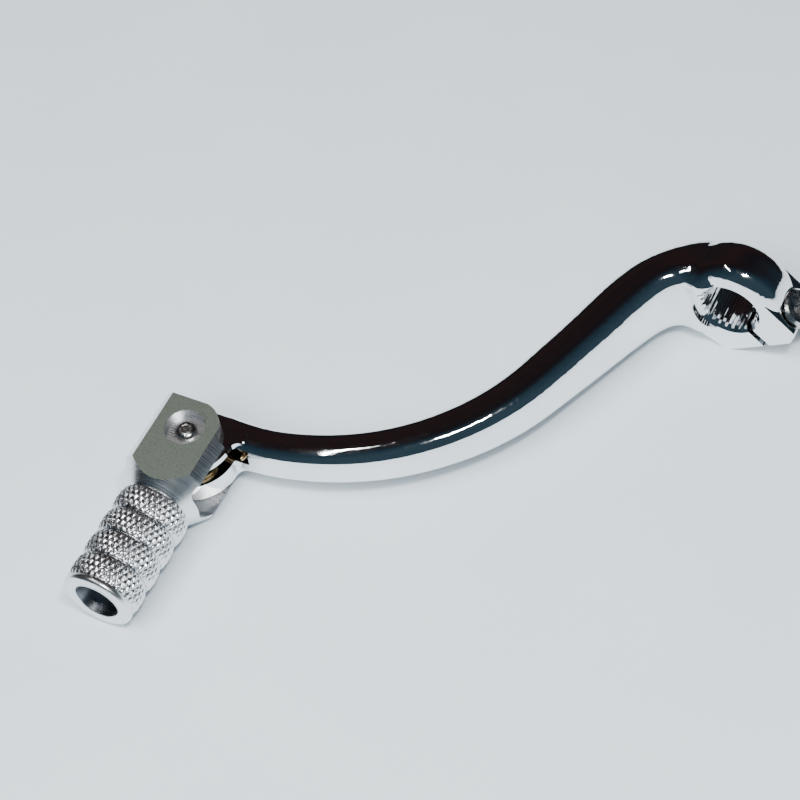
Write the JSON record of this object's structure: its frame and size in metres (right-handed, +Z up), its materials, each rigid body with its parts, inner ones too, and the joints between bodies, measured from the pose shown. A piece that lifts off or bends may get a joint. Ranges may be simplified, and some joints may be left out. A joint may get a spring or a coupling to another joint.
{
  "type": "gear shift lever",
  "caption": "Polished curved gear shift lever with a split splined clamp at one end and a spring-returned folding knurled toe peg at the other.",
  "frame": {"origin": "centre of the splined bore, midway through the clamp boss", "axes": "+X forward to the toe peg, +Y outward along the shift shaft to the rider's side, +Z up"},
  "size_m": [0.1211, 0.1277, 0.0252],
  "materials": {
    "polished_aluminium": "polished",
    "machined_aluminium": "satin",
    "steel": "bright",
    "spring_steel": "bronze tinted"
  },
  "bodies": {
    "lever": {"lever_arm": "polished_aluminium", "pinch_bolt": "steel", "return_spring": "spring_steel"},
    "toe": {"toe_tip": "machined_aluminium", "pivot_pin": "steel"}
  },
  "joints": [
    {"name": "tip_fold", "type": "hinge", "parent": "lever", "child": "toe", "pos_m": [0.094, 0.0785, -0.005], "axis": [0, 0, 1], "range_deg": [0, 60], "stiffness_Nm_per_rad": 0.2, "springref_deg": -34.38, "deforming": ["return_spring"]}
  ]
}
